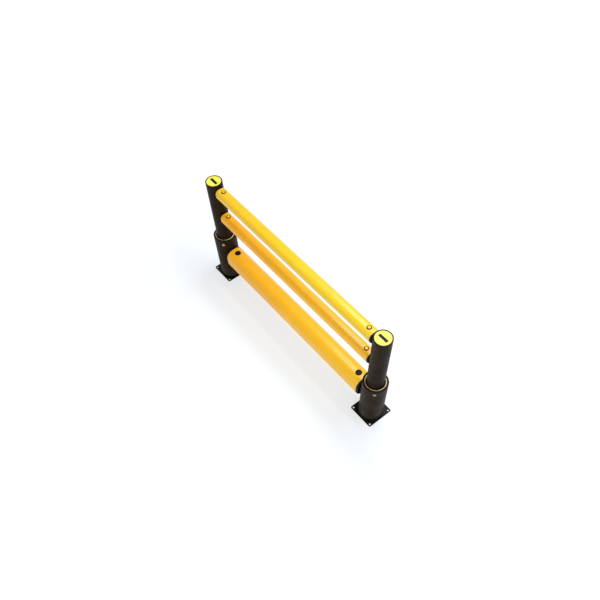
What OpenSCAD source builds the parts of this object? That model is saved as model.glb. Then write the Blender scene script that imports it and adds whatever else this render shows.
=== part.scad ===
// One bay of a flexible polymer traffic barrier: two sleeved posts on steel
// base plates, one deep traffic rail low down and two slimmer guard rails above.
// Millimetres. X runs along the rails, Y across them, Z up from the floor.
// The origin is on the floor, midway between the two posts.

/* [Bay] */
// Distance between the two post centres
post_spacing = 2290; // [1500:10:2800]
// Height of the post rim above the floor
post_top = 1170; // [950:5:1420]

/* [Base] */
// Side of the square base plate
plate_side = 270; // [250:2:340]
// Thickness of the base plate
plate_thick = 12; // [8:1:16]
// Radius of the base plate's corners
plate_corner_r = 14; // [6:1:20]
// Diameter of the anchor holes
anchor_hole_d = 18; // [12:1:20]
// Distance of each anchor hole from the plate's two nearest edges
anchor_edge = 20; // [18:1:26]
// Depth of the countersink at each anchor hole
anchor_sink = 5; // [2:0.5:6]

/* [Post] */
// Outside diameter of the post tube
post_od = 160; // [130:1:200]
// Wall of the post tube
post_wall = 10; // [8:0.5:15]
// Height of the steel socket's spigot inside the post
spigot_h = 300; // [150:5:400]
// Wall of the steel socket
socket_wall = 5; // [4:0.5:8]

/* [Sleeve] */
// Gap between the post and the sleeve's liner
sleeve_gap = 9; // [6:0.5:16]
// Wall of the pale liner inside the sleeve
liner_wall = 9; // [5:0.5:12]
// Drop of the liner's rim below the sleeve's rim
liner_drop = 2; // [0:0.5:6]
// Wall of the lower sleeve
sleeve_wall = 17.7; // [12:0.1:24]
// Height of the sleeve's rim above the top of the traffic rail
sleeve_over_rail = 120; // [95:5:200]
// Radius of the rounding on the sleeve's rim
sleeve_rim_r = 4; // [2:0.5:5]

/* [Post cap] */
// Depth of the cap's face below the post's rim
cap_drop = 1.5; // [0:0.5:3]
// Thickness of the cap's face
cap_face = 5; // [3:0.5:8]
// Depth of the cap's skirt inside the post
cap_skirt = 28; // [15:1:34]
// Wall of the cap's skirt
cap_skirt_wall = 4; // [3:0.5:5]

/* [Sleeve pin] */
// Diameter of the pin that locks the sleeve to the post
lock_pin_d = 20; // [14:1:24]
// Diameter of its domed head
lock_head_d = 30; // [28:1:36]
// Height of its domed head
lock_head_h = 6; // [4:0.5:8]
// Diameter of the round seat sunk into the sleeve for the head
lock_seat_d = 40; // [38:1:46]
// Depth of that seat
lock_seat_depth = 4; // [2:0.5:6]
// Distance of the pin below the sleeve's rim
lock_pin_drop = 52; // [45:1:70]
// Direction of the pin, in degrees from X
lock_pin_angle = -45; // [-60:5:-30]

/* [Traffic rail] */
// Height of the traffic rail's centre line
traffic_z = 300; // [240:5:360]
// Depth of the traffic rail across the barrier
traffic_w = 190; // [156:2:230]
// Height of the traffic rail's section
traffic_h = 210; // [174:2:252]
// Corner radius of the traffic rail's section
traffic_r = 76; // [40:1:76]
// Wall of the traffic rail
traffic_wall = 10; // [6:0.5:12]
// Gap between the sleeve and the end of the traffic rail
traffic_gap = 19; // [12:1:40]
// Distance of the traffic rail's pin from the rail's end
traffic_pin_inset = 73; // [60:1:90]

/* [Guard rails] */
// Drop of the top rail's centre line below the post's rim
top_drop = 80; // [70:1:100]
// Distance between the two guard rails' centre lines
guard_pitch = 290; // [200:5:330]
// Depth of a guard rail across the barrier
guard_w = 110; // [92:1:132]
// Height of a guard rail's section
guard_h = 102; // [92:1:122]
// Corner radius of a guard rail's section
guard_r = 40; // [22:1:44]
// Wall of a guard rail
guard_wall = 8; // [5:0.5:10]
// Gap between the post and the end of a guard rail
guard_gap = 14; // [8:1:30]
// Distance of a guard rail's pin from the rail's end
guard_pin_inset = 60; // [40:1:80]

/* [Rail couplings] */
// Length of the coupling that slides into a rail
spigot_len = 120; // [110:5:160]
// Wall of the couplings
coupling_wall = 9; // [6:0.5:12]
// Thickness of the web that closes a coupling
coupling_web = 8; // [5:0.5:12]
// How far a coupling's collar stands in from the rail's face
collar_inset = 1.5; // [0.5:0.5:6]
// Thickness of a coupling's collar along the rail
collar_thick = 24; // [18:1:30]
// Share of the rail's section that the neck behind the collar takes
neck_share = 0.72; // [0.6:0.02:0.9]
// Share of the rail's section that the coupling's tongue takes
tongue_share = 0.5; // [0.3:0.05:0.6]
// How far a guard rail's tongue reaches inside the post
tongue_reach = 24; // [10:1:30]

/* [Rail pins] */
// Diameter of the rail pins' shanks
rail_pin_d = 24; // [16:1:29]
// Diameter of the head over a guard rail
guard_head_d = 34; // [32:1:40]
// Diameter of the head over the traffic rail
traffic_head_d = 52; // [40:1:56]
// Height of a pin's head
head_h = 5; // [3:0.5:8]
// Chamfer round a pin's head
head_edge = 1.5; // [0.5:0.5:2]
// Diameter of the bush flange on a guard rail
guard_flange_d = 44; // [42:1:50]
// Diameter of the bush flange on the traffic rail
traffic_flange_d = 62; // [52:1:66]
// Thickness of a bush flange
flange_h = 2; // [1:0.5:4]
// Wall of a bush round its pin
bush_wall = 4; // [3:0.5:5]

/* [Hidden] */
$fn = 96;

// Clearance between pieces that slide together, on the radius or on each side
fit = 0.3;
// Extra length that carries a cut clear of the face it starts from
past = 1;

post_r = post_od / 2;
post_bore_r = post_r - post_wall;
liner_bore_r = post_r + sleeve_gap;
liner_r = liner_bore_r + liner_wall;
sleeve_bore_r = liner_r + fit;
sleeve_r = sleeve_bore_r + sleeve_wall;
sleeve_top = traffic_z + traffic_h / 2 + sleeve_over_rail;
socket_floor_top = plate_thick + socket_wall;
socket_r = liner_bore_r - fit;
socket_ring_h = 30;
lock_pin_z = sleeve_top - lock_pin_drop;
lock_seat_x = sleeve_r - lock_seat_depth;
anchor_reach = plate_side / 2 - anchor_edge;
top_z = post_top - top_drop;
middle_z = top_z - guard_pitch;
// Distances of the rails' ends and pins from the post's centre
traffic_end = sleeve_r + traffic_gap;
traffic_pin_x = traffic_end + traffic_pin_inset;
guard_end = post_r + guard_gap;
guard_pin_x = guard_end + guard_pin_inset;
black = [0.09, 0.08, 0.08];
yellow = [1.0, 0.76, 0.05];
lemon = [0.95, 0.93, 0.25];
cream = [0.85, 0.80, 0.60];
tan = [0.65, 0.55, 0.42];
steel_black = [0.06, 0.06, 0.06];

// Puts a post's pieces at the left end, or turned about at the right end.
module at_left() translate([-post_spacing / 2, 0, 0]) children();
module at_right() translate([post_spacing / 2, 0, 0]) rotate([0, 0, 180]) children();

// A rectangle with round corners, built from squares and circles so its arcs stay true.
module rounded_section(w, h, r) {
    square([w, h - 2 * r], center = true);
    square([w - 2 * r, h], center = true);
    for (sx = [-1, 1], sy = [-1, 1])
        translate([sx * (w / 2 - r), sy * (h / 2 - r)]) circle(r = r);
}

// Stands a YZ section up and runs it along X from x0 to x1 at height z.
module run_along_x(x0, x1, z)
    translate([x0, 0, z]) rotate([90, 0, 90]) linear_extrude(x1 - x0) children();

module tube(r_out, r_in, z0, z1)
    translate([0, 0, z0]) rotate_extrude() translate([r_in, 0]) square([r_out - r_in, z1 - z0]);

module base_plate()
    color(steel_black) difference() {
        linear_extrude(plate_thick) rounded_section(plate_side, plate_side, plate_corner_r);
        for (sx = [-1, 1], sy = [-1, 1])
            translate([sx * anchor_reach, sy * anchor_reach, 0]) {
                translate([0, 0, -past]) cylinder(d = anchor_hole_d, h = plate_thick + 2 * past);
                translate([0, 0, plate_thick - anchor_sink])
                    cylinder(d1 = anchor_hole_d, d2 = anchor_hole_d + 2 * anchor_sink, h = anchor_sink);
            }
    }

// Steel stub welded to the plate: a floor disc, a tall spigot inside the post
// and a low ring between the post and the liner.
module post_socket() {
    spigot_r = post_bore_r - fit;
    ring_bore_r = post_r + fit;
    color(steel_black) translate([0, 0, plate_thick]) union() {
        tube(socket_r, spigot_r - socket_wall, 0, socket_wall);
        tube(spigot_r, spigot_r - socket_wall, 0, spigot_h);
        tube(socket_r, ring_bore_r, 0, socket_ring_h);
    }
}

// Turns Z to lie along the lock pin, with the pin's middle at the origin.
module along_lock_pin()
    rotate([0, 0, lock_pin_angle]) translate([0, 0, lock_pin_z]) rotate([0, 90, 0]) children();

// Bore for the lock pin, drilled right through a post or sleeve.
module lock_bore()
    along_lock_pin() cylinder(d = lock_pin_d + 2 * fit, h = 3 * sleeve_r, center = true);

// Opening in a tube wall for a coupling's tongue, cut from inside the tube outwards.
module tongue_window(w, h, r, z) {
    slot_w = tongue_share * w + 2 * fit;
    slot_h = tongue_share * h + 2 * fit;
    run_along_x(0, 2 * sleeve_r, z) rounded_section(slot_w, slot_h, tongue_share * r);
}

module sleeve_profile() {
    difference() {
        translate([sleeve_bore_r, plate_thick]) square([sleeve_wall, sleeve_top - plate_thick]);
        translate([sleeve_r - sleeve_rim_r, sleeve_top - sleeve_rim_r]) difference() {
            square(sleeve_rim_r + past);
            circle(r = sleeve_rim_r);
        }
    }
}

module sleeve()
    color(black) difference() {
        rotate_extrude() sleeve_profile();
        lock_bore();
        along_lock_pin() for (side = [0, 180]) rotate([side, 0, 0])
            translate([0, 0, lock_seat_x]) cylinder(d = lock_seat_d, h = sleeve_wall);
        tongue_window(traffic_w, traffic_h, traffic_r, traffic_z);
    }

module sleeve_liner()
    color(cream) difference() {
        tube(liner_r, liner_bore_r, plate_thick, sleeve_top - liner_drop);
        lock_bore();
        tongue_window(traffic_w, traffic_h, traffic_r, traffic_z);
    }

module post()
    color(black) difference() {
        tube(post_r, post_bore_r, socket_floor_top, post_top);
        lock_bore();
        for (z = [middle_z, top_z]) tongue_window(guard_w, guard_h, guard_r, z);
    }

module post_cap() {
    cap_r = post_bore_r - fit;
    cap_top = post_top - cap_drop;
    color(lemon) union() {
        translate([0, 0, cap_top - cap_face]) cylinder(r = cap_r, h = cap_face);
        tube(cap_r, cap_r - cap_skirt_wall, cap_top - cap_skirt, cap_top - cap_face);
    }
}

// A shank right across the sleeve with a domed head at each end, sunk into its seat.
module sleeve_pin()
    color(tan) along_lock_pin() union() {
        cylinder(d = lock_pin_d, h = 2 * lock_seat_x + lock_head_h, center = true);
        for (side = [0, 180]) rotate([side, 0, 0]) translate([0, 0, lock_seat_x]) lock_head();
    }

module lock_head()
    rotate_extrude() intersection() {
        square([lock_head_d / 2, lock_head_h]);
        translate([0, lock_head_h - lock_head_d]) circle(r = lock_head_d);
    }

// A hollow rail between the posts, drilled top and bottom at both ends.
module rail(w, h, r, wall, end, pin_x, z) {
    half = post_spacing / 2 - end;
    bore = rail_pin_d + 2 * bush_wall + 2 * fit;
    difference() {
        run_along_x(-half, half, z) difference() {
            rounded_section(w, h, r);
            rounded_section(w - 2 * wall, h - 2 * wall, r - wall);
        }
        for (side = [-1, 1])
            translate([side * (post_spacing / 2 - pin_x), 0, z])
                cylinder(d = bore, h = h + 2 * past, center = true);
    }
}

module traffic_rail() color(yellow)
    rail(traffic_w, traffic_h, traffic_r, traffic_wall, traffic_end, traffic_pin_x, traffic_z);
module middle_rail() color(yellow)
    rail(guard_w, guard_h, guard_r, guard_wall, guard_end, guard_pin_x, middle_z);
module top_rail() color(yellow)
    rail(guard_w, guard_h, guard_r, guard_wall, guard_end, guard_pin_x, top_z);

// Moulded coupling with its post at the origin and its rail towards +X: a hollow spigot
// inside the rail, a collar over the rail's end, a neck that saddles the round post, and a
// tongue through the wall.
module coupling(w, h, r, wall, end, pin_x, z, host_r, tongue_x0) {
    in_w = w - 2 * wall - 2 * fit;
    in_h = h - 2 * wall - 2 * fit;
    in_r = r - wall - fit;
    col_w = w - 2 * collar_inset;
    col_h = h - 2 * collar_inset;
    col_r = r - collar_inset;
    core_w = in_w - 2 * coupling_wall;
    core_h = in_h - 2 * coupling_wall;
    core_r = max(in_r - coupling_wall, 2);
    boss_d = rail_pin_d + 4 * bush_wall;
    color(black) difference() {
        union() {
            difference() {
                union() {
                    run_along_x(end - fit, end + spigot_len, z) rounded_section(in_w, in_h, in_r);
                    run_along_x(end - collar_thick, end - fit, z)
                        rounded_section(col_w, col_h, col_r);
                    run_along_x(0, end - fit, z)
                        rounded_section(neck_share * w, neck_share * h, neck_share * r);
                }
                run_along_x(end + coupling_web, end + spigot_len + past, z)
                    rounded_section(core_w, core_h, core_r);
                cylinder(r = host_r + fit, h = post_top + past);
            }
            translate([pin_x, 0, z]) cylinder(d = boss_d, h = in_h - coupling_wall, center = true);
            difference() {
                run_along_x(0, end, z)
                    rounded_section(tongue_share * w, tongue_share * h, tongue_share * r);
                cylinder(r = tongue_x0, h = post_top + past);
            }
        }
        translate([pin_x, 0, z]) cylinder(d = rail_pin_d + 2 * fit, h = h, center = true);
    }
}

module traffic_coupling()
    coupling(traffic_w, traffic_h, traffic_r, traffic_wall, traffic_end, traffic_pin_x, traffic_z,
        sleeve_r, post_r + fit);
module guard_coupling(z)
    coupling(guard_w, guard_h, guard_r, guard_wall, guard_end, guard_pin_x, z,
        post_r, post_bore_r - tongue_reach);

// Upright pin through rail and coupling, with a head over and a head under the rail.
module rail_pin(h, pin_x, z, head_d) {
    seat = h / 2 + flange_h;
    translate([pin_x, 0, z]) union() {
        cylinder(d = rail_pin_d, h = 2 * seat + head_h, center = true);
        for (side = [0, 180]) rotate([side, 0, 0]) translate([0, 0, seat]) pin_head(head_d);
    }
}

module pin_head(head_d) {
    rim_r = head_d / 2;
    rotate_extrude() polygon([
        [0, 0], [rim_r, 0], [rim_r, head_h - head_edge], [rim_r - head_edge, head_h], [0, head_h]
    ]);
}

// The two flanged bushes that line the rail's upper and lower pin holes.
module rail_bushes(h, wall, pin_x, z, flange_d) {
    bore_r = rail_pin_d / 2 + fit;
    color(black) translate([pin_x, 0, z]) for (side = [0, 180]) rotate([side, 0, 0]) union() {
        tube(flange_d / 2, bore_r, h / 2, h / 2 + flange_h);
        tube(bore_r - fit + bush_wall, bore_r, h / 2 - wall, h / 2);
    }
}

module traffic_pin() color(black) rail_pin(traffic_h, traffic_pin_x, traffic_z, traffic_head_d);
module guard_pin(z) color(yellow) rail_pin(guard_h, guard_pin_x, z, guard_head_d);
module traffic_bushes() rail_bushes(traffic_h, traffic_wall, traffic_pin_x, traffic_z, traffic_flange_d);
module guard_bushes(z) rail_bushes(guard_h, guard_wall, guard_pin_x, z, guard_flange_d);

at_left() base_plate();  // base_plate_left
at_right() base_plate();  // base_plate_right
at_left() post_socket();  // post_socket_left
at_right() post_socket();  // post_socket_right
at_left() sleeve();  // sleeve_left
at_right() sleeve();  // sleeve_right
at_left() sleeve_liner();  // sleeve_liner_left
at_right() sleeve_liner();  // sleeve_liner_right
at_left() post();  // post_left
at_right() post();  // post_right
at_left() post_cap();  // post_cap_left
at_right() post_cap();  // post_cap_right
at_left() sleeve_pin();  // sleeve_pin_left
at_right() sleeve_pin();  // sleeve_pin_right
traffic_rail();
middle_rail();
top_rail();
at_left() traffic_coupling();  // traffic_coupling_left
at_right() traffic_coupling();  // traffic_coupling_right
at_left() guard_coupling(middle_z);  // middle_coupling_left
at_right() guard_coupling(middle_z);  // middle_coupling_right
at_left() guard_coupling(top_z);  // top_coupling_left
at_right() guard_coupling(top_z);  // top_coupling_right
at_left() traffic_pin();  // traffic_pin_left
at_right() traffic_pin();  // traffic_pin_right
at_left() guard_pin(middle_z);  // middle_pin_left
at_right() guard_pin(middle_z);  // middle_pin_right
at_left() guard_pin(top_z);  // top_pin_left
at_right() guard_pin(top_z);  // top_pin_right
at_left() traffic_bushes();  // traffic_bushes_left
at_right() traffic_bushes();  // traffic_bushes_right
at_left() guard_bushes(middle_z);  // middle_bushes_left
at_right() guard_bushes(middle_z);  // middle_bushes_right
at_left() guard_bushes(top_z);  // top_bushes_left
at_right() guard_bushes(top_z);  // top_bushes_right
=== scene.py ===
# %% [markdown]
# # A flexible traffic barrier
# One bay of the barrier that keeps forklift trucks away from people in a warehouse: two black
# polymer posts in thick sleeves on steel plates, and three yellow polymer rails between them.
# The steel sockets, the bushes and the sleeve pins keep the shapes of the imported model, because
# they are plain turned shapes already. Everything else that shows is modelled again here, with
# soft edges and turned details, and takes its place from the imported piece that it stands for.

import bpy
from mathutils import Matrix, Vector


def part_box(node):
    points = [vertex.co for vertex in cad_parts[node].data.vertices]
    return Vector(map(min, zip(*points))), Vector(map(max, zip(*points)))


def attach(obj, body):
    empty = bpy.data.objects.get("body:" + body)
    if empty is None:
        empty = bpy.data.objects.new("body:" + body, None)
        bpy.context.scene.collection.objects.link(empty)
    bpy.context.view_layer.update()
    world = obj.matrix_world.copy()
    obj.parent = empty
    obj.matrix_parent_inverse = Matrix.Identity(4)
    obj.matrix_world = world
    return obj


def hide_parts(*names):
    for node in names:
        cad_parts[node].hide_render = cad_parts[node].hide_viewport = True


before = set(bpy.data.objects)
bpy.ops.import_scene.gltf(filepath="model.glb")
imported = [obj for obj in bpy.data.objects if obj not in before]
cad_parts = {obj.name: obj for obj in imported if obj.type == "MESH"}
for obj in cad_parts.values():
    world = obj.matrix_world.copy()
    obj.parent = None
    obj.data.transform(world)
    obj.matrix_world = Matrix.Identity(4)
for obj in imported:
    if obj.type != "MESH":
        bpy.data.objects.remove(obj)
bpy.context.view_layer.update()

# %% [markdown]
# Python's own tools come next. bmesh is used only to choose what an operator then works on.

# %% Modules
from math import cos, pi, radians, sin

import bmesh
import bpy
from mathutils import Matrix, Vector

print("Blender", bpy.app.version_string)

# %% [markdown]
# The camera stands high above one end and looks steeply down the bay, turned a little about its
# own axis. It could be aimed with a Track To constraint, but that can't hold the small turn, so
# its matrix is built from three directions. A lens shift lifts the view without tilting it.

# %% Camera
CAMERA_PLACE = (2.651, -1.861, 4.529)
YAW, PITCH, ROLL = radians(55.04), radians(61.56), radians(4.10)
FOCAL_PER_WIDTH = 0.8925
VIEW_SHIFT = 0.1667
SENSOR_MM = 36.0

forward = Vector((-sin(YAW) * cos(PITCH), cos(YAW) * cos(PITCH), -sin(PITCH)))
level_right = Vector((cos(YAW), sin(YAW), 0))
level_down = forward.cross(level_right)
right = cos(ROLL) * level_right + sin(ROLL) * level_down
down = cos(ROLL) * level_down - sin(ROLL) * level_right
camera = bpy.data.objects.new("camera", bpy.data.cameras.new("camera"))
bpy.context.collection.objects.link(camera)
camera.data.sensor_width = SENSOR_MM
camera.data.lens = FOCAL_PER_WIDTH * SENSOR_MM
camera.data.shift_y = VIEW_SHIFT
turn = Matrix((right, -down, -forward)).transposed().to_4x4()
camera.matrix_world = Matrix.Translation(CAMERA_PLACE) @ turn
bpy.context.scene.camera = camera
print("camera at", CAMERA_PLACE, "lens", round(camera.data.lens, 2), "mm")

# %% [markdown]
# Studio light: a pale room fills the shadows. A long softbox hangs overhead and a little behind,
# so the tops of the rails shine and a soft shadow falls in front of them. A second one stands
# low in front and draws a paler stripe along their front corners. Sun lamps would be simpler,
# but their hard shadows don't look like a studio.

# %% Lights
TOP_BOX_WATTS, FRONT_BOX_WATTS = 135, 60
BOX_LENGTH, BOX_WIDTH = 3.6, 0.8
OVERHEAD_PLACE, OVERHEAD_TARGET = (0.4, 1.3, 4.6), (0, 0, 0.5)
FRONT_PLACE, FRONT_TARGET = (0.8, -4.2, 1.4), (0, 0, 0.6)


def softbox(name, place, target, watts):
    """A long area light at place that faces target."""
    lamp = bpy.data.objects.new(name, bpy.data.lights.new(name, "AREA"))
    bpy.context.collection.objects.link(lamp)
    lamp.data.shape = "RECTANGLE"
    lamp.data.size, lamp.data.size_y = BOX_LENGTH, BOX_WIDTH
    lamp.data.energy = watts
    lamp.location = place
    lamp.rotation_euler = (Vector(target) - Vector(place)).to_track_quat("-Z", "Y").to_euler()
    print(name, watts, "W")


softbox("overhead softbox", OVERHEAD_PLACE, OVERHEAD_TARGET, TOP_BOX_WATTS)
softbox("front softbox", FRONT_PLACE, FRONT_TARGET, FRONT_BOX_WATTS)
bpy.context.scene.view_settings.view_transform = "Standard"

# %% [markdown]
# A small helper adds a shader node, sets its values and joins its inputs in one line. A value
# that is another node's socket becomes a link, and a plain number or colour is set on the
# socket. Nodes could be placed by hand in the editor, but a function keeps every finish readable.

# %% Node helper
def add_node(tree, kind, settings=None, **inputs):
    """Adds a node; inputs are named with underscores for spaces, such as Base_Color."""
    node = tree.nodes.new(kind)
    for key, value in (settings or {}).items():
        setattr(node, key, value)
    for key, value in inputs.items():
        label = key.replace("_", " ")
        socket = next(s for s in node.inputs if s.name == label and s.enabled)
        if isinstance(value, bpy.types.NodeSocket):
            tree.links.new(value, socket)
        else:
            socket.default_value = value
    return node


def paint(red, green, blue):
    """A colour given as on a screen, 0 to 255, as the linear values that a shader takes."""
    values = [v / 255 for v in (red, green, blue)]
    linear = [v / 12.92 if v <= 0.04045 else ((v + 0.055) / 1.055) ** 2.4 for v in values]
    return (*linear, 1.0)


def out(node, name):
    """A node's enabled output socket of that name."""
    return next(s for s in node.outputs if s.name == name and s.enabled)


print("mid grey as the shader takes it", [round(v, 3) for v in paint(128, 128, 128)])

# %% [markdown]
# The room and the floor show plain white to the camera, and to what mirrors them, without adding
# light to the barrier. The floor mixes that white with a real diffuse surface, which keeps the
# soft shadow, and the mix fades to plain white away from the barrier, so no horizon shows.

# %% Room and floor
ROOM_STRENGTH = 0.5
FLOOR_SIZE = 40
FLOOR_SHADOW_SHARE = 0.55
FLOOR_WHITE = 1.3
FLOOR_CLEAR, FLOOR_FADE = 1.8, 4.5


def seen_directly(tree):
    """A 0 or 1 value: 1 where the ray comes from the camera, a gloss or a glass."""
    path = add_node(tree, "ShaderNodeLightPath")
    glossy = add_node(tree, "ShaderNodeMath", {"operation": "MAXIMUM"})
    tree.links.new(out(path, "Is Camera Ray"), glossy.inputs[0])
    tree.links.new(out(path, "Is Glossy Ray"), glossy.inputs[1])
    either = add_node(tree, "ShaderNodeMath", {"operation": "MAXIMUM"})
    tree.links.new(glossy.outputs[0], either.inputs[0])
    tree.links.new(out(path, "Is Transmission Ray"), either.inputs[1])
    return either.outputs[0]


world = bpy.data.worlds.new("pale room")
bpy.context.scene.world = world
world.use_nodes = True
room = world.node_tree
room.nodes.clear()
lighting = add_node(room, "ShaderNodeBackground", Color=paint(250, 252, 255), Strength=ROOM_STRENGTH)
backdrop = add_node(room, "ShaderNodeBackground", Color=(1, 1, 1, 1), Strength=1.0)
room_mix = add_node(room, "ShaderNodeMixShader")
room.links.new(seen_directly(room), room_mix.inputs[0])
room.links.new(lighting.outputs[0], room_mix.inputs[1])
room.links.new(backdrop.outputs[0], room_mix.inputs[2])
add_node(room, "ShaderNodeOutputWorld", Surface=room_mix.outputs[0])

bpy.ops.object.select_all(action="DESELECT")
bpy.ops.mesh.primitive_plane_add(size=FLOOR_SIZE)
floor = bpy.context.object
floor.name = "floor"
floor_paint = bpy.data.materials.new("pale floor")
floor_paint.use_nodes = True
tree = floor_paint.node_tree
tree.nodes.clear()
matt = add_node(tree, "ShaderNodeBsdfDiffuse", Color=paint(232, 241, 252))
glow = add_node(tree, "ShaderNodeEmission", Color=(1, 1, 1, 1), Strength=FLOOR_WHITE)
place = add_node(tree, "ShaderNodeTexCoord")
distance = add_node(tree, "ShaderNodeVectorMath", {"operation": "LENGTH"})
tree.links.new(place.outputs["Object"], distance.inputs[0])
fade = add_node(tree, "ShaderNodeMapRange", Value=out(distance, "Value"),
                From_Min=FLOOR_CLEAR,
                From_Max=FLOOR_FADE, To_Min=1 - FLOOR_SHADOW_SHARE, To_Max=1.0)
camera_white = add_node(tree, "ShaderNodeMath", {"operation": "MULTIPLY"})
tree.links.new(seen_directly(tree), camera_white.inputs[0])
tree.links.new(fade.outputs["Result"], camera_white.inputs[1])
floor_mix = add_node(tree, "ShaderNodeMixShader")
tree.links.new(camera_white.outputs[0], floor_mix.inputs[0])
tree.links.new(matt.outputs[0], floor_mix.inputs[1])
tree.links.new(glow.outputs[0], floor_mix.inputs[2])
add_node(tree, "ShaderNodeOutputMaterial", Surface=floor_mix.outputs[0])
floor.data.materials.append(floor_paint)
print("floor and room are white to the camera")

# %% [markdown]
# ## Finishes
# Moulded and extruded polymer is never one flat colour: the pigment is a little uneven, the skin
# has a fine grain, and handling rubs some patches smoother. One node group makes those three
# things from noise on the piece's own coordinates, and every material sets its own amounts.

# %% Group: moulded skin
def new_group(name, ins, outs):
    """An empty shader group with named inputs (name, kind, start value) and outputs."""
    group = bpy.data.node_groups.new(name, "ShaderNodeTree")
    for label, kind, start in ins:
        socket = group.interface.new_socket(label, in_out="INPUT", socket_type=kind)
        socket.default_value = start
    for label, kind in outs:
        group.interface.new_socket(label, in_out="OUTPUT", socket_type=kind)
    return group, group.nodes.new("NodeGroupInput"), group.nodes.new("NodeGroupOutput")


FLOAT, COLOR, VECTOR = "NodeSocketFloat", "NodeSocketColor", "NodeSocketVector"
skin, into, outof = new_group(
    "moulded skin",
    [("Color", COLOR, (1, 1, 1, 1)), ("Shade", COLOR, (0, 0, 0, 1)), ("Mottle Scale", FLOAT, 6.0),
     ("Grain Scale", FLOAT, 900.0), ("Grain Depth", FLOAT, 0.0002), ("Smooth", FLOAT, 0.3),
     ("Rough", FLOAT, 0.5)],
    [("Color", COLOR), ("Roughness", FLOAT), ("Normal", VECTOR)])
place = add_node(skin, "ShaderNodeTexCoord")
mottle = add_node(skin, "ShaderNodeTexNoise", Vector=place.outputs["Object"],
                  Scale=into.outputs["Mottle Scale"], Detail=4.0, Roughness=0.55)
patches = add_node(skin, "ShaderNodeMapRange", Value=mottle.outputs["Fac"],
                   From_Min=0.35, From_Max=0.7)
tint = add_node(skin, "ShaderNodeMix", {"data_type": "RGBA"}, Factor=patches.outputs["Result"],
                A=into.outputs["Color"], B=into.outputs["Shade"])
rubbed = add_node(skin, "ShaderNodeMapRange", Value=mottle.outputs["Fac"], From_Min=0.3,
                  From_Max=0.7, To_Min=into.outputs["Smooth"], To_Max=into.outputs["Rough"])
grain = add_node(skin, "ShaderNodeTexNoise", Vector=place.outputs["Object"],
                 Scale=into.outputs["Grain Scale"], Detail=2.0)
relief = add_node(skin, "ShaderNodeBump", Strength=0.5, Height=grain.outputs["Fac"],
                  Distance=into.outputs["Grain Depth"])
skin.links.new(out(tint, "Result"), outof.inputs["Color"])
skin.links.new(rubbed.outputs["Result"], outof.inputs["Roughness"])
skin.links.new(relief.outputs["Normal"], outof.inputs["Normal"])
print("group", skin.name, "puts out", [s.name for s in outof.inputs if s.name])

# %% [markdown]
# The rails and posts are extruded, and the die leaves faint lines along their length. Noise that
# is stretched along one axis gives them: an axis of 1s and a small number says which way.

# %% Group: die lines
lines, into, outof = new_group(
    "die lines",
    [("Stretch", VECTOR, (1, 1, 1)), ("Scale", FLOAT, 120.0)],
    [("Lines", FLOAT)])
place = add_node(lines, "ShaderNodeTexCoord")
squeezed = add_node(lines, "ShaderNodeMapping", Vector=place.outputs["Object"],
                    Scale=into.outputs["Stretch"])
streaks = add_node(lines, "ShaderNodeTexNoise", Vector=squeezed.outputs["Vector"],
                   Scale=into.outputs["Scale"], Detail=3.0)
lines.links.new(streaks.outputs["Fac"], outof.inputs["Lines"])
print("group", lines.name)

# %% [markdown]
# A mask that rises from 0 to 1 between two distances along an axis serves three times: for the
# painted highlight on the rails' sawn ends, for a trace of floor dust low on the black pieces, and
# for the painted sheen that lightens each rail towards its near end.

# %% Group: rise along an axis
rise, into, outof = new_group(
    "rise",
    [("Axis", VECTOR, (1, 0, 0)), ("Start", FLOAT, 0.0), ("End", FLOAT, 1.0)],
    [("Signed", FLOAT), ("Mirrored", FLOAT)])
place = add_node(rise, "ShaderNodeTexCoord")
along = add_node(rise, "ShaderNodeVectorMath", {"operation": "DOT_PRODUCT"})
rise.links.new(place.outputs["Object"], along.inputs[0])
rise.links.new(into.outputs["Axis"], along.inputs[1])
both = add_node(rise, "ShaderNodeMath", {"operation": "ABSOLUTE"})
rise.links.new(out(along, "Value"), both.inputs[0])
for source, label in ((out(along, "Value"), "Signed"), (both.outputs[0], "Mirrored")):
    ramp = add_node(rise, "ShaderNodeMapRange", {"interpolation_type": "SMOOTHSTEP"}, Value=source,
                    From_Min=into.outputs["Start"], From_Max=into.outputs["End"])
    rise.links.new(ramp.outputs["Result"], outof.inputs[label])
print("group", rise.name)

# %% [markdown]
# Each material below places these groups with its own colours and amounts, and ends in a
# Principled shader. Values that are the same all over the piece are set on the shader itself,
# because a reader of the file then finds them in one place.

# %% Material maker
COAT_ROUGHNESS = 0.22


def use_group(tree, group, **inputs):
    """Places a node group in a material's tree."""
    return add_node(tree, "ShaderNodeGroup", {"node_tree": group}, **inputs)


def blend_colors(tree, factor, first, second):
    """The colour between first and second."""
    mix = add_node(tree, "ShaderNodeMix", {"data_type": "RGBA"}, Factor=factor, A=first, B=second)
    return out(mix, "Result")


def times(tree, first, second):
    """Two values multiplied."""
    product = add_node(tree, "ShaderNodeMath", {"operation": "MULTIPLY"})
    for socket, value in zip(product.inputs, (first, second)):
        if isinstance(value, bpy.types.NodeSocket):
            tree.links.new(value, socket)
        else:
            socket.default_value = value
    return product.outputs[0]


def material(name, specular, coat=0.0):
    """A new material with a Principled shader and its own specular level and clear coat."""
    made = bpy.data.materials.new(name)
    made.use_nodes = True
    tree = made.node_tree
    shader = tree.nodes["Principled BSDF"]
    shader.inputs["Specular IOR Level"].default_value = specular
    shader.inputs["Coat Weight"].default_value = coat
    shader.inputs["Coat Roughness"].default_value = COAT_ROUGHNESS
    return made, tree, shader


def wire(tree, shader, color, roughness, normal):
    """Joins the three changing values to the shader."""
    tree.links.new(color, shader.inputs["Base Color"])
    tree.links.new(roughness, shader.inputs["Roughness"])
    tree.links.new(normal, shader.inputs["Normal"])


print("clear coat roughness", COAT_ROUGHNESS)
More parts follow.
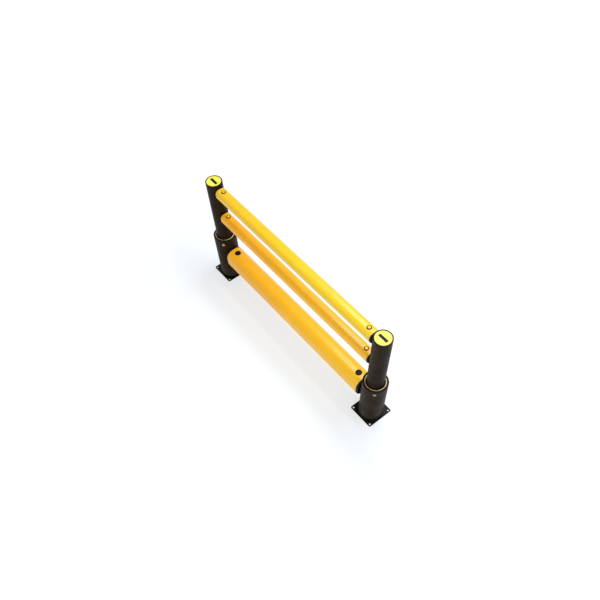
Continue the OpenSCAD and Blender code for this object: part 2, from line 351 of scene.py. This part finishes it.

# %% [markdown]
# Rail yellow: a warm pigment under a satin skin. The top rail is painted a shade more lemon than the
# two below it. Each rail is painted lighter and more lemon towards its near end, a painted sheen
# for the light that falls on that end. The last few millimetres at both sawn ends are painted paler,
# a painted highlight for the bright rim that the ends catch.

# %% Rail materials
RAIL_LINE_DEPTH = 0.0004


def rail_material(name, color, shade, near_sheen_color, end_x):
    """A rail's finish; end_x is the distance of its sawn ends from the middle of the bay."""
    made, tree, shader = material(name, specular=0.25, coat=0.3)
    body = use_group(tree, skin, Color=color, Shade=shade, Mottle_Scale=4.0, Grain_Scale=700.0,
                     Grain_Depth=0.0002, Smooth=0.34, Rough=0.46)
    # Painted sheen: the rail's colour is blended lighter and more lemon towards its near end, for
    # the light that falls there.
    near_sheen_ramp = use_group(tree, rise, Axis=(1, 0, 0), Start=-1.0, End=0.8)
    warm = blend_colors(tree, times(tree, near_sheen_ramp.outputs["Signed"], 0.85), body.outputs["Color"],
                        near_sheen_color)
    die = use_group(tree, lines, Stretch=(0.02, 1, 1), Scale=170.0)
    lined = blend_colors(tree, times(tree, die.outputs["Lines"], 0.22), warm, shade)
    # Painted highlight: the last few millimetres at each end are blended towards a pale yellow, for
    # the bright rim that the ends catch.
    sawn = use_group(tree, rise, Axis=(1, 0, 0), Start=end_x - 0.004, End=end_x - 0.001)
    end_highlight_color = blend_colors(tree, times(tree, sawn.outputs["Mirrored"], 0.75), lined,
                             paint(255, 226, 130))
    relief = add_node(tree, "ShaderNodeBump", Strength=0.35, Distance=RAIL_LINE_DEPTH,
                      Height=die.outputs["Lines"], Normal=body.outputs["Normal"])
    wire(tree, shader, end_highlight_color, body.outputs["Roughness"], relief.outputs["Normal"])
    return made


# Per rail: its yellow, a darker yellow for the random mottle and die lines, and the lighter yellow
# of the painted sheen at its near end.
RAIL_LOOKS = {
    "traffic_rail": (paint(250, 180, 3), paint(240, 168, 3), paint(250, 196, 3)),
    "middle_rail": (paint(250, 178, 2), paint(240, 166, 2), paint(248, 188, 2)),
    "top_rail": (paint(243, 194, 6), paint(236, 184, 6), paint(240, 200, 8)),
}
rail_finishes = {}
for rail_name, (main, shade, near) in RAIL_LOOKS.items():
    end_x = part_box(rail_name)[1][0]
    rail_finishes[rail_name] = rail_material(rail_name.replace("_", " ") + " yellow", main, shade,
                                             near, end_x)
print("rail finishes", list(rail_finishes))

# %% [markdown]
# Black polymer: a warm near-black with low shine. The posts and sleeves are extruded, so their
# die lines run upright, and a trace of pale dust lies near the floor. The couplings, bushes and
# traffic pins are moulded, with a finer grain and a little more shine.

# %% Black materials
def black_material(name, color, shade, smooth, rough, specular, line_share):
    """Black polymer; line_share is how much the upright die lines show."""
    made, tree, shader = material(name, specular)
    body = use_group(tree, skin, Color=color, Shade=shade, Mottle_Scale=9.0, Grain_Scale=1100.0,
                     Grain_Depth=0.0003, Smooth=smooth, Rough=rough)
    die = use_group(tree, lines, Stretch=(1, 1, 0.02), Scale=210.0)
    lined = blend_colors(tree, times(tree, die.outputs["Lines"], line_share), body.outputs["Color"],
                         paint(80, 62, 44))
    height = use_group(tree, rise, Axis=(0, 0, -1), Start=-0.16, End=-0.01)
    dust = times(tree, times(tree, height.outputs["Signed"], die.outputs["Lines"]), 0.28)
    dusty = blend_colors(tree, dust, lined, paint(120, 116, 108))
    relief = add_node(tree, "ShaderNodeBump", Strength=0.3 * line_share, Distance=0.0004,
                      Height=die.outputs["Lines"], Normal=body.outputs["Normal"])
    wire(tree, shader, dusty, body.outputs["Roughness"], relief.outputs["Normal"])
    return made


post_black = black_material("post black", paint(36, 24, 13), paint(25, 17, 9), 0.34, 0.5, 0.05, 0.16)
moulded_black = black_material("moulded black", paint(20, 18, 17), paint(13, 12, 12), 0.3, 0.44,
                               0.08, 0.05)
print("black finishes ready")

# %% [markdown]
# The base plates are steel with a baked black coat. It is harder and a little glossier than the
# polymer, with a slight orange-peel relief, and has worn to bare metal in small specks.

# %% Coated steel
coated_steel, tree, shader = material("coated steel", specular=0.1)
body = use_group(tree, skin, Color=paint(19, 18, 17), Shade=paint(12, 12, 12), Mottle_Scale=16.0,
                 Grain_Scale=260.0, Grain_Depth=0.0005, Smooth=0.3, Rough=0.42)
place = add_node(tree, "ShaderNodeTexCoord")
chips = add_node(tree, "ShaderNodeTexVoronoi", Vector=place.outputs["Object"], Scale=34.0)
speck = add_node(tree, "ShaderNodeMapRange", Value=chips.outputs["Distance"], From_Min=0.05,
                 From_Max=0.09, To_Min=1.0, To_Max=0.0)
chipped = blend_colors(tree, times(tree, speck.outputs["Result"], 0.35), body.outputs["Color"],
                       paint(116, 116, 112))
wire(tree, shader, chipped, body.outputs["Roughness"], body.outputs["Normal"])
print(coated_steel.name)

# %% [markdown]
# Four small coloured pieces share one maker: the lemon post caps, the yellow pins, the cream
# liner and the tan sleeve pins.

# %% Small coloured materials
def moulded_color(name, color, shade, smooth, rough, specular=0.3):
    """A plain moulded colour with a fine grain."""
    made, tree, shader = material(name, specular)
    body = use_group(tree, skin, Color=color, Shade=shade, Mottle_Scale=22.0, Grain_Scale=1300.0,
                     Grain_Depth=0.00015, Smooth=smooth, Rough=rough)
    wire(tree, shader, body.outputs["Color"], body.outputs["Roughness"], body.outputs["Normal"])
    return made


cap_yellow = moulded_color("cap yellow", paint(243, 240, 96), paint(230, 226, 72), 0.3, 0.42)
pin_yellow = moulded_color("pin yellow", paint(250, 212, 52), paint(238, 196, 40), 0.3, 0.42)
liner_cream = moulded_color("liner cream", paint(226, 216, 160), paint(206, 192, 132), 0.35, 0.5)
pin_tan = moulded_color("pin tan", paint(186, 164, 128), paint(164, 140, 104), 0.35, 0.5)
print("small finishes", [m.name for m in (cap_yellow, pin_yellow, liner_cream, pin_tan)])

# %% [markdown]
# ## Modelling helpers
# An operator works on whatever is selected, so each piece starts from an empty selection. Then
# faces or edges are chosen by where they are or which way they face.

# %% Selection helpers
CLOSE = 1e-5
ROUND_SIDES = 96


def start_fresh():
    """Leaves edit mode and deselects everything."""
    if bpy.context.object and bpy.context.object.mode != "OBJECT":
        bpy.ops.object.mode_set(mode="OBJECT")
    bpy.ops.object.select_all(action="DESELECT")


def settle(name):
    """Names the new primitive and moves its place into its mesh."""
    piece = bpy.context.object
    piece.name = name
    bpy.ops.object.transform_apply(location=True, rotation=True, scale=True)
    return piece


def choose(piece, kind, test):
    """In edit mode, selects the faces or edges (kind FACE or EDGE) that pass the test."""
    bpy.ops.mesh.select_mode(type=kind)
    bpy.ops.mesh.select_all(action="DESELECT")
    shape = bmesh.from_edit_mesh(piece.data)
    parts = shape.faces if kind == "FACE" else shape.edges
    chosen = [part for part in parts if test(part)]
    for part in chosen:
        part.select_set(True)
    bmesh.update_edit_mesh(piece.data)
    return len(chosen)


def all_at(edge, test):
    """True if both ends of an edge pass the test."""
    return all(test(v.co) for v in edge.verts)


print("round pieces have", ROUND_SIDES, "sides")

# %% [markdown]
# Two starting shapes are used again and again: a bar whose long edges are rounded, from a cube
# with four bevelled edges, and a tube, from a cylinder whose two ends are inset and bridged. A
# solidify modifier could hollow them too, but a bridge keeps the wall exact at the corners.

# %% Starting shapes
AXES = {"X": 0, "Y": 1, "Z": 2}
CORNER_SEGMENTS = 14


def rounded_bar(name, low, high, axis, radius, segments=CORNER_SEGMENTS):
    """A box from low to high with the four edges along axis rounded."""
    start_fresh()
    middle = (Vector(low) + Vector(high)) / 2
    size = Vector(high) - Vector(low)
    bpy.ops.mesh.primitive_cube_add(size=1, location=middle, scale=size)
    piece = settle(name)
    bpy.ops.object.mode_set(mode="EDIT")
    along = AXES[axis]
    choose(piece, "EDGE", lambda e: abs((e.verts[0].co - e.verts[1].co)[along]) > size[along] / 2)
    bpy.ops.mesh.bevel(offset=radius, segments=segments, profile=0.5)
    return piece


def hollow(piece, axis, wall):
    """In edit mode, insets the two ends across axis by the wall and bridges them."""
    along = AXES[axis]
    choose(piece, "FACE", lambda f: abs(f.normal[along]) > 0.99)
    bpy.ops.mesh.inset(thickness=wall)
    bpy.ops.mesh.bridge_edge_loops()
    bpy.ops.mesh.select_all(action="SELECT")
    bpy.ops.mesh.normals_make_consistent(inside=False)


def tube(name, centre_x, outer, wall, low, high):
    """An upright tube on the bay's centre line, left in edit mode."""
    start_fresh()
    bpy.ops.mesh.primitive_cylinder_add(vertices=ROUND_SIDES, radius=outer, depth=high - low,
                                        location=(centre_x, 0, (low + high) / 2))
    piece = settle(name)
    bpy.ops.object.mode_set(mode="EDIT")
    hollow(piece, "Z", wall)
    return piece


print("rounded corners have", CORNER_SEGMENTS, "segments")

# %% [markdown]
# Holes are cut with a boolean modifier: the cutter goes to the far side of both faces, the
# modifier is applied, and the cutter is deleted. Its manifold solver wants closed shapes whose
# faces all look outward, so both are tidied first. The last two helpers smooth a piece and hand
# it to the frame, and copy it to another place.

# %% Cutting and finishing
SMOOTH_ANGLE = radians(32)


def make_active(piece):
    """Selects one piece and makes it the active object."""
    start_fresh()
    piece.select_set(True)
    bpy.context.view_layer.objects.active = piece


def face_outward(piece):
    """Joins doubled points and turns every face outward."""
    make_active(piece)
    bpy.ops.object.mode_set(mode="EDIT")
    bpy.ops.mesh.select_all(action="SELECT")
    bpy.ops.mesh.remove_doubles(threshold=CLOSE)
    bpy.ops.mesh.normals_make_consistent(inside=False)
    bpy.ops.object.mode_set(mode="OBJECT")


def cut(piece, cutter):
    """Takes the cutter's shape out of the piece."""
    face_outward(cutter)
    face_outward(piece)
    hole = piece.modifiers.new("hole", "BOOLEAN")
    hole.operation = "DIFFERENCE"
    hole.solver = "MANIFOLD"
    hole.object = cutter
    bpy.ops.object.modifier_apply(modifier=hole.name)
    bpy.data.objects.remove(cutter)


def hand_over(piece, finish, node):
    """Smooths the piece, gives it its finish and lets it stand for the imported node."""
    face_outward(piece)
    bpy.ops.object.shade_smooth_by_angle(angle=SMOOTH_ANGLE)
    even = piece.modifiers.new("even normals", "WEIGHTED_NORMAL")
    even.keep_sharp = True
    bpy.ops.object.modifier_apply(modifier=even.name)
    piece.data.materials.clear()
    piece.data.materials.append(finish)
    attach(piece, "root")
    if node:
        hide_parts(node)
    print(piece.name, len(piece.data.polygons), "faces")


def copy_piece(piece, name, node, lift=0.0, turned=False):
    """Copies a finished piece with its own mesh, raised or half-turned about the bay's middle."""
    make_active(piece)
    bpy.ops.object.duplicate()
    twin = bpy.context.object
    twin.name = name
    twin.location.z = lift
    twin.rotation_euler.z = pi if turned else 0
    bpy.ops.object.transform_apply(location=True, rotation=True, scale=True)
    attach(twin, "root")
    if node:
        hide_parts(node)
    print(name, "copied from", piece.name)
    return twin


print("edges under", round(SMOOTH_ANGLE * 180 / pi), "degrees are smoothed")

# %% [markdown]
# ## Sizes
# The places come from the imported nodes' boxes. The numbers below are the ones that a box can't
# give, such as walls and corner radii, in metres.

# %% Sizes
SIDES = ("left", "right")
LEFT, RIGHT = SIDES
FIT = 0.0003
POST_WALL = 0.010
SLEEVE_WALL = 0.0177
LINER_WALL = 0.009
TONGUE_SHARE = 0.5
RAIL_SHAPES = {"traffic_rail": (0.076, 0.010), "middle_rail": (0.040, 0.008),
               "top_rail": (0.040, 0.008)}


def middle_of(node):
    """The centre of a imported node's box."""
    low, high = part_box(node)
    return (Vector(low) + Vector(high)) / 2


def size_of(node):
    """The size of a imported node's box."""
    low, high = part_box(node)
    return Vector(high) - Vector(low)


POST_X = middle_of("base_plate_left").x
print("left post centre", round(POST_X, 3))

# %% [markdown]
# ## Rails
# Each rail is an extruded hollow section. It could be a curve with a bevel profile, but a cube
# is closer to the real section: it is stretched to its box, its four long edges are rounded, the
# ends are opened to the wall's thickness, and the sawn rims get a small bevel, which catches the
# light as a thin pale line. Upright holes take the bushes.

# %% Rails
SAWN_BEVEL = 0.002
SHANK_RADIUS = 0.012
BUSH_WALL = 0.004
BUSH_BORE = SHANK_RADIUS + BUSH_WALL + 2 * FIT
DRILL_SIDES = 48
DRILL_LENGTH = 0.4


def drill(piece, x, z):
    """An upright round hole for a bush, right through the piece."""
    start_fresh()
    bpy.ops.mesh.primitive_cylinder_add(vertices=DRILL_SIDES, radius=BUSH_BORE,
                                        depth=DRILL_LENGTH, location=(x, 0, z))
    cut(piece, settle("drill"))


for rail_name, (corner, wall) in RAIL_SHAPES.items():
    low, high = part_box(rail_name)
    rail = rounded_bar(rail_name + "_skin", low, high, "X", corner)
    hollow(rail, "X", wall)
    end_x = high[0]
    choose(rail, "EDGE", lambda e: all_at(e, lambda p: abs(abs(p.x) - end_x) < CLOSE))
    bpy.ops.mesh.bevel(offset=SAWN_BEVEL, segments=3, profile=0.5)
    bpy.ops.object.mode_set(mode="OBJECT")
    level = rail_name.split("_")[0]
    for side in SIDES:
        drill(rail, middle_of(f"{level}_pin_{side}").x, middle_of(rail_name).z)
    hand_over(rail, rail_finishes[rail_name], rail_name)

# %% [markdown]
# ## Posts, sleeves and liners
# All three are tubes. A rounded rim is a bevel on the edge loops at the top, wide outside and
# narrow inside. Windows let the couplings' tongues through, and the sleeve has a round seat for
# each head of the pin that locks it to the post. The left end is modelled, and every right-hand
# piece is a copy of it, given half a turn about the middle of the bay.

# %% Windows and rims
def open_window(piece, rail_name, reach):
    """Cuts the opening for a coupling's tongue on the side that faces the bay."""
    half = size_of(rail_name) * TONGUE_SHARE / 2
    z = middle_of(rail_name).z
    low = (POST_X, -half.y - FIT, z - half.z - FIT)
    high = (POST_X + reach, half.y + FIT, z + half.z + FIT)
    corner = RAIL_SHAPES[rail_name][0] * TONGUE_SHARE
    cutter = rounded_bar("window", low, high, "X", corner, segments=8)
    bpy.ops.object.mode_set(mode="OBJECT")
    cut(piece, cutter)


def round_rim(piece, z, radius_range, amount):
    """In edit mode, rounds the edge loop at height z whose radius is inside the range."""
    def on_rim(point):
        reach = Vector((point.x - POST_X, point.y)).length
        return abs(point.z - z) < CLOSE and radius_range[0] < reach < radius_range[1]
    choose(piece, "EDGE", lambda e: all_at(e, on_rim))
    bpy.ops.mesh.bevel(offset=amount, segments=5, profile=0.5)


def rimmed_tube(name, node, wall, outer_round, inner_round):
    """A tube that fills a packed tube's box, with its top rim rounded outside and inside."""
    low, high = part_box(node)
    outer = size_of(node).y / 2
    piece = tube(name, POST_X, outer, wall, low[2], high[2])
    round_rim(piece, high[2], (outer - wall / 2, outer * 1.1), outer_round)
    round_rim(piece, high[2], (0, outer - wall / 2), inner_round)
    bpy.ops.object.mode_set(mode="OBJECT")
    return piece, outer


print("tongue windows are", TONGUE_SHARE, "of a rail's section")

# %% [markdown]
# The sleeve pin crosses the sleeve at 45 degrees. Its packed box gives the height, and the bores
# and seats are cut along the same line.

# %% Cross bores
LOCK_ANGLE = radians(-45)
LOCK_BORE = 0.010 + FIT
SEAT_RADIUS = 0.020
SEAT_DEPTH = 0.004


def cross_cut(piece, radius, near, far):
    """Cuts a round hole along the sleeve pin's line, between two distances from the axis."""
    direction = Vector((cos(LOCK_ANGLE), sin(LOCK_ANGLE), 0))
    centre = Vector((POST_X, 0, middle_of("sleeve_pin_left").z))
    start_fresh()
    bpy.ops.mesh.primitive_cylinder_add(
        vertices=DRILL_SIDES, radius=radius, depth=far - near,
        location=centre + direction * (near + far) / 2,
        rotation=(0, pi / 2, LOCK_ANGLE))
    cut(piece, settle("cross cutter"))


print("sleeve pins cross at height", round(middle_of("sleeve_pin_left").z, 3))

# %% [markdown]
# The post is the slim upper tube. Its rim stands round the yellow cap, so the outer edge gets a
# visible rounding and the inner one only breaks the corner. Two windows face the guard rails.

# %% Posts
POST_RIM_OUTSIDE, POST_RIM_INSIDE = 0.003, 0.001
post, outer = rimmed_tube("post_left_tube", "post_left", POST_WALL, POST_RIM_OUTSIDE,
                          POST_RIM_INSIDE)
for rail_name in ("middle_rail", "top_rail"):
    open_window(post, rail_name, 2 * outer)
cross_cut(post, LOCK_BORE, -2 * outer, 2 * outer)
hand_over(post, post_black, "post_left")
copy_piece(post, "post_right_tube", "post_right", turned=True)

# %% [markdown]
# The sleeve takes the knocks from wheels and forks, so its wall is nearly twice as thick and its
# rim is rounder. The two heads of the cross pin sit in shallow round seats, which are cut by
# wider cylinders that stop just inside the surface.

# %% Sleeves
SLEEVE_RIM_OUTSIDE, SLEEVE_RIM_INSIDE = 0.006, 0.002
sleeve, outer = rimmed_tube("sleeve_left_tube", "sleeve_left", SLEEVE_WALL, SLEEVE_RIM_OUTSIDE,
                            SLEEVE_RIM_INSIDE)
open_window(sleeve, "traffic_rail", 2 * outer)
cross_cut(sleeve, LOCK_BORE, -2 * outer, 2 * outer)
cross_cut(sleeve, SEAT_RADIUS, outer - SEAT_DEPTH, 2 * outer)
cross_cut(sleeve, SEAT_RADIUS, -2 * outer, SEAT_DEPTH - outer)
hand_over(sleeve, post_black, "sleeve_left")
copy_piece(sleeve, "sleeve_right_tube", "sleeve_right", turned=True)

# %% [markdown]
# The liner shows only as a cream ring inside the sleeve's rim. It is still made full length, as
# it can be seen down the gap beside the post.

# %% Liners
LINER_RIM_OUTSIDE, LINER_RIM_INSIDE = 0.003, 0.002
liner, outer = rimmed_tube("sleeve_liner_left_ring", "sleeve_liner_left", LINER_WALL,
                           LINER_RIM_OUTSIDE, LINER_RIM_INSIDE)
open_window(liner, "traffic_rail", 2 * outer)
cross_cut(liner, LOCK_BORE, -2 * outer, 2 * outer)
hand_over(liner, liner_cream, "sleeve_liner_left")
copy_piece(liner, "sleeve_liner_right_ring", "sleeve_liner_right", turned=True)

# %% [markdown]
# ## Post caps
# A cap is a shallow moulded cup pushed into the post, face up. It could be spun from an outline,
# but insets and one extrusion are shorter. The face is a little dished inside a raised rim, and
# a plain dark bar lies across its middle.

# %% Caps
CAP_SKIRT_WALL = 0.004
CAP_FACE = 0.005
CAP_RIM = 0.004
CAP_DISH = 0.0012
CAP_STEP = 0.0015
CAP_EDGE = 0.0012
BAR_EDGE = 0.0004
BAR_SIZE = Vector((0.092, 0.026, 0.0012))

low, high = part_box("post_cap_left")
outer = size_of("post_cap_left").y / 2
middle = middle_of("post_cap_left")
start_fresh()
bpy.ops.mesh.primitive_cylinder_add(vertices=ROUND_SIDES, radius=outer, depth=high[2] - low[2],
                                    location=middle)
cap = settle("post_cap_left_moulding")
bpy.ops.object.mode_set(mode="EDIT")
choose(cap, "FACE", lambda f: f.normal.z < -0.99)
bpy.ops.mesh.inset(thickness=CAP_SKIRT_WALL)
cavity = high[2] - low[2] - CAP_FACE
bpy.ops.mesh.extrude_region_move(TRANSFORM_OT_translate={"value": (0, 0, cavity)})
choose(cap, "FACE", lambda f: f.normal.z > 0.99 and f.calc_center_median().z > middle.z)
bpy.ops.mesh.inset(thickness=CAP_RIM)
bpy.ops.mesh.inset(thickness=CAP_STEP)
bpy.ops.transform.translate(value=(0, 0, -CAP_DISH))
choose(cap, "EDGE", lambda e: all_at(e, lambda p: abs(p.z - high[2]) < CLOSE
                                     and (p - middle).xy.length > outer - CLOSE * 10))
bpy.ops.mesh.bevel(offset=CAP_EDGE, segments=3, profile=0.5)
bpy.ops.object.mode_set(mode="OBJECT")
hand_over(cap, cap_yellow, "post_cap_left")
copy_piece(cap, "post_cap_right_moulding", "post_cap_right", turned=True)

bar_low = Vector((middle.x, 0, high[2] - CAP_DISH)) - Vector((*(BAR_SIZE / 2).xy, 0))
bar = rounded_bar("cap_bar_left", bar_low, bar_low + BAR_SIZE, "Z", BAR_SIZE.y * 0.25, 6)
choose(bar, "EDGE", lambda e: all_at(e, lambda p: p.z > bar_low.z + BAR_SIZE.z - CLOSE))
bpy.ops.mesh.bevel(offset=BAR_EDGE, segments=2, profile=0.5)
bpy.ops.object.mode_set(mode="OBJECT")
hand_over(bar, moulded_black, None)
copy_piece(bar, "cap_bar_right", None, turned=True)

# %% [markdown]
# ## Base plates
# A flame-cut square with round corners and a soft upper edge. Each corner has a countersunk hole
# for an anchor bolt: the cutter is a cylinder whose top face is pulled up and widened.

# %% Base plates
PLATE_CORNER = 0.014
PLATE_EDGE = 0.0012
ANCHOR_INSET = 0.020
ANCHOR_RADIUS = 0.009
SINK_DEPTH = 0.005
PAST = 0.001
SHANK_CUT = 0.03


def countersink(x, y, top):
    """A cutter for one anchor hole."""
    start_fresh()
    shank_top = top - SINK_DEPTH
    bpy.ops.mesh.primitive_cylinder_add(vertices=DRILL_SIDES, radius=ANCHOR_RADIUS,
                                        depth=SHANK_CUT,
                                        location=(x, y, shank_top - SHANK_CUT / 2))
    cutter = settle("countersink")
    bpy.ops.object.mode_set(mode="EDIT")
    choose(cutter, "FACE", lambda f: f.normal.z > 0.99)
    bpy.ops.mesh.extrude_region_move(TRANSFORM_OT_translate={"value": (0, 0, SINK_DEPTH + PAST)})
    widen = (ANCHOR_RADIUS + SINK_DEPTH + PAST) / ANCHOR_RADIUS
    bpy.ops.transform.resize(value=(widen, widen, 1), center_override=(x, y, top + PAST))
    bpy.ops.object.mode_set(mode="OBJECT")
    return cutter


low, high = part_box("base_plate_left")
plate = rounded_bar("base_plate_left_steel", low, high, "Z", PLATE_CORNER, 8)
choose(plate, "EDGE", lambda e: all_at(e, lambda p: p.z > high[2] - CLOSE))
bpy.ops.mesh.bevel(offset=PLATE_EDGE, segments=3, profile=0.5)
bpy.ops.object.mode_set(mode="OBJECT")
for x in (low[0] + ANCHOR_INSET, high[0] - ANCHOR_INSET):
    for y in (low[1] + ANCHOR_INSET, high[1] - ANCHOR_INSET):
        cut(plate, countersink(x, y, high[2]))
hand_over(plate, coated_steel, "base_plate_left")
copy_piece(plate, "base_plate_right_steel", "base_plate_right", turned=True)

# %% [markdown]
# ## Couplings
# A coupling joins a rail to its post. Its collar closes the rail's end, with large soft back
# edges. From the collar's front a spigot is inset and pulled into the rail, and from its back a
# narrower neck is pulled to the post, where a cylinder cuts it to the post's curve. Growing all
# three from one bar keeps them joined, as in the real moulding. The spigot is hidden in the rail,
# so it stays solid here.

# %% Couplings
COLLAR_INSET = 0.0015
COLLAR_THICK = 0.024
COLLAR_SOFT = 0.010
NECK_SHARE = 0.72
SPIGOT_LENGTH = 0.120
SADDLE_DEPTH = 0.5


def coupling(name, rail_name, host, node):
    """The left coupling of a rail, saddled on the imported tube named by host."""
    low, high = (Vector(corner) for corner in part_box(rail_name))
    corner, wall = RAIL_SHAPES[rail_name]
    arc = corner - COLLAR_INSET
    stand_in = Vector((0, COLLAR_INSET, COLLAR_INSET))
    front = low.x - FIT
    start = Vector((low.x - COLLAR_THICK, low.y, low.z)) + stand_in
    end = Vector((front, high.y, high.z)) - stand_in
    piece = rounded_bar(name, start, end, "X", arc)
    choose(piece, "FACE", lambda f: f.normal.x > 0.99)
    bpy.ops.mesh.inset(thickness=wall + FIT - COLLAR_INSET)
    bpy.ops.mesh.extrude_region_move(TRANSFORM_OT_translate={"value": (SPIGOT_LENGTH, 0, 0)})
    choose(piece, "FACE", lambda f: f.normal.x < -0.99)
    bpy.ops.mesh.inset(thickness=(high.y - low.y) * (1 - NECK_SHARE) / 2)
    bpy.ops.mesh.extrude_region_move(
        TRANSFORM_OT_translate={"value": (POST_X - start.x, 0, 0)})
    middle = middle_of(rail_name)

    def on_back_rim(point):
        round_y = max(abs(point.y) - (end.y - arc), 0)
        round_z = max(abs(point.z - middle.z) - (end.z - middle.z - arc), 0)
        on_outline = Vector((round_y, round_z)).length > arc - 20 * CLOSE
        return abs(point.x - start.x) < CLOSE and on_outline

    found = choose(piece, "EDGE", lambda e: all_at(e, on_back_rim))
    bpy.ops.mesh.bevel(offset=COLLAR_SOFT, segments=6, profile=0.5)
    bpy.ops.object.mode_set(mode="OBJECT")
    start_fresh()
    bpy.ops.mesh.primitive_cylinder_add(vertices=ROUND_SIDES, radius=size_of(host).y / 2 + FIT,
                                        depth=SADDLE_DEPTH, location=(POST_X, 0, middle.z))
    cut(piece, settle("saddle"))
    print(name, "back rim edges", found)
    hand_over(piece, moulded_black, node)
    return piece


traffic_coupling = coupling("traffic_coupling_left_moulding", "traffic_rail", "sleeve_left",
                            "traffic_coupling_left")
copy_piece(traffic_coupling, "traffic_coupling_right_moulding",
           "traffic_coupling_right", turned=True)
GUARD_PITCH = middle_of("top_rail").z - middle_of("middle_rail").z
guard_coupling = coupling("middle_coupling_left_moulding", "middle_rail", "post_left",
                          "middle_coupling_left")
copy_piece(guard_coupling, "middle_coupling_right_moulding",
           "middle_coupling_right", turned=True)
for side, turned in ((LEFT, False), (RIGHT, True)):
    copy_piece(guard_coupling, f"top_coupling_{side}_moulding",
               f"top_coupling_{side}", lift=GUARD_PITCH, turned=turned)

# %% [markdown]
# ## Rail pins
# A pin passes upright through rail and coupling, with a button head over and one under the rail.
# It is turned from one cylinder: both ends are extruded and scaled about the pin's middle, so
# the two heads stay alike. A shallow dimple finishes each head.

# %% Rail pins
PIN_SIDES = 64
HEAD_HEIGHT = 0.005
HEAD_EDGE = 0.0018
DIMPLE_DEPTH = 0.0012
DIMPLE_TAPER = 0.86


def turned_pin(name, node, head_share, dimple_share):
    """A pin as tall as a packed pin; its head is a share of that one's, its dimple of the head."""
    middle = middle_of(node)
    size = size_of(node)
    seat = size.z / 2 - HEAD_HEIGHT
    head_radius = size.x / 2 * head_share
    start_fresh()
    bpy.ops.mesh.primitive_cylinder_add(vertices=PIN_SIDES, radius=SHANK_RADIUS, depth=2 * seat,
                                        location=middle)
    pin = settle(name)
    bpy.ops.object.mode_set(mode="EDIT")
    choose(pin, "FACE", lambda f: abs(f.normal.z) > 0.99)
    bpy.ops.mesh.extrude_region_move()
    spread = head_radius / SHANK_RADIUS
    bpy.ops.transform.resize(value=(spread, spread, 1), center_override=middle)
    bpy.ops.mesh.extrude_region_move()
    lift = (seat + HEAD_HEIGHT) / seat
    bpy.ops.transform.resize(value=(1, 1, lift), center_override=middle)
    bpy.ops.mesh.inset(thickness=head_radius * (1 - dimple_share))
    bpy.ops.mesh.extrude_region_move()
    press = (size.z / 2 - DIMPLE_DEPTH) / (size.z / 2)
    bpy.ops.transform.resize(value=(DIMPLE_TAPER, DIMPLE_TAPER, press), center_override=middle)
    choose(pin, "EDGE", lambda e: all_at(e, lambda p: abs(abs(p.z - middle.z) - size.z / 2) < CLOSE
                                         and (p - middle).xy.length > head_radius - CLOSE * 10))
    bpy.ops.mesh.bevel(offset=HEAD_EDGE, segments=4, profile=0.5)
    bpy.ops.object.mode_set(mode="OBJECT")
    return pin


traffic_pin = turned_pin("traffic_pin_left_turned", "traffic_pin_left", 1.0, 0.42)
hand_over(traffic_pin, moulded_black, "traffic_pin_left")
copy_piece(traffic_pin, "traffic_pin_right_turned", "traffic_pin_right",
           turned=True)
guard_pin = turned_pin("middle_pin_left_turned", "middle_pin_left", 0.8, 0.4)
hand_over(guard_pin, pin_yellow, "middle_pin_left")
copy_piece(guard_pin, "middle_pin_right_turned", "middle_pin_right", turned=True)
for side, turned in ((LEFT, False), (RIGHT, True)):
    copy_piece(guard_pin, f"top_pin_{side}_turned", f"top_pin_{side}",
               lift=GUARD_PITCH, turned=turned)

# %% [markdown]
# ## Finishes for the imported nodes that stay
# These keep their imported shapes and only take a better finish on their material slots.

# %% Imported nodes
KEPT = {
    "post_socket": coated_steel, "sleeve_pin": pin_tan, "traffic_bushes": moulded_black,
    "middle_bushes": moulded_black, "top_bushes": moulded_black,
}
for stem, finish in KEPT.items():
    for side in SIDES:
        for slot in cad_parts[f"{stem}_{side}"].material_slots:
            slot.material = finish
print("finished", 2 * len(KEPT), "packed nodes")
